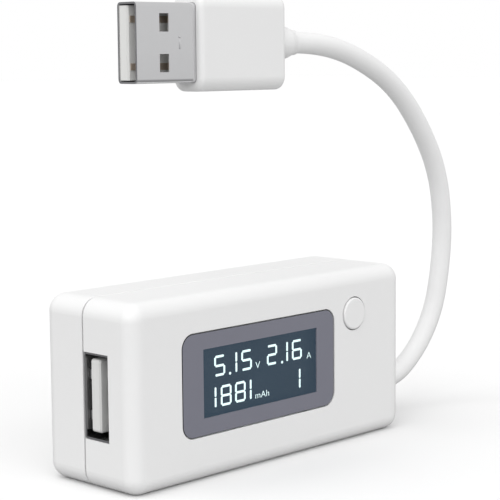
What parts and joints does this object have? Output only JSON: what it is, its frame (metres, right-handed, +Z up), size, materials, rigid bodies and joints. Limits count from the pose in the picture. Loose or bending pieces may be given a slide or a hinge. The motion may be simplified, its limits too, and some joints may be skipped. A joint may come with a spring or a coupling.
{
  "type": "usb power meter",
  "caption": "Inline USB power meter: white snap-together case with a numeric display, a round push button, a USB-A socket in one end and a short cord with a USB-A plug.",
  "frame": {"origin": "middle of the case's underside, on the surface it stands on", "axes": "+X along the case from the socket end to the cord end, +Y from the display face to the back, +Z up"},
  "size_m": [0.0864, 0.0201, 0.0734],
  "materials": {
    "white_case": "satin moulded white",
    "clear_window": "polished clear acrylic",
    "grey_border": "printed blue-grey film",
    "display_dark": "dark polariser film",
    "display_glass": "clear glass",
    "clear_acrylic": "milky clear acrylic",
    "white_film": "white reflector film",
    "white_frame": "moulded white",
    "lamp_resin": "cast yellow resin",
    "tinned_metal": "tinned",
    "green_board": "solder mask on glass fibre",
    "black_resin": "moulded black resin",
    "grey_metal": "resistance alloy",
    "brown_ceramic": "fired ceramic",
    "plated_steel": "nickel-plated steel",
    "white_insulator": "moulded white",
    "gold_contact": "gold-plated",
    "white_cord": "satin soft white",
    "red_wire": "insulated wire",
    "white_wire": "insulated wire",
    "green_wire": "insulated wire",
    "black_wire": "insulated wire"
  },
  "bodies": {
    "case": {"front_shell": "white_case", "back_cover": "white_case", "plug_housing": "white_case", "display_window": "clear_window", "window_border": "grey_border", "lcd_front_polariser": "display_dark", "lcd_rear_polariser": "display_dark", "lcd_front_glass": "display_glass", "lcd_rear_glass": "display_glass", "light_guide": "clear_acrylic", "backlight_reflector": "white_film", "lcd_frame": "white_frame", "backlight_leds": "lamp_resin", "lcd_pins": "tinned_metal", "circuit_board": "green_board", "microcontroller": "black_resin", "memory_chip": "black_resin", "voltage_regulator": "black_resin", "chip_leads": "tinned_metal", "shunt_resistor": "grey_metal", "capacitors": "brown_ceramic", "resistors": "black_resin", "solder_joints": "tinned_metal", "switch_body": "black_resin", "switch_cover": "plated_steel", "switch_dome": "plated_steel", "switch_terminals": "tinned_metal", "usb_socket_shell": "plated_steel", "usb_socket_tongue": "white_insulator", "usb_socket_contacts": "gold_contact", "cord": "white_cord", "cord_strain_relief": "white_cord", "plug_strain_relief": "white_cord", "red_wire": "red_wire", "white_wire": "white_wire", "green_wire": "green_wire", "black_wire": "black_wire", "plug_shell": "plated_steel", "plug_insulator": "white_insulator", "plug_contacts": "gold_contact", "plug_wires": "white_wire"},
    "button": {"button_cap": "white_case"},
    "plunger": {"switch_plunger": "black_resin"}
  },
  "joints": [
    {"name": "button_press", "type": "slide", "parent": "case", "child": "button", "axis": [0, 1, 0], "range_m": [0, 0.00025], "stiffness_N_per_m": 4000},
    {"name": "plunger_press", "type": "slide", "parent": "case", "child": "plunger", "axis": [0, 1, 0], "range_m": [0, 0.00025], "stiffness_N_per_m": 2000}
  ],
  "couplings": [
    {"joint": "plunger_press", "follows": "button_press", "ratio": 1}
  ]
}
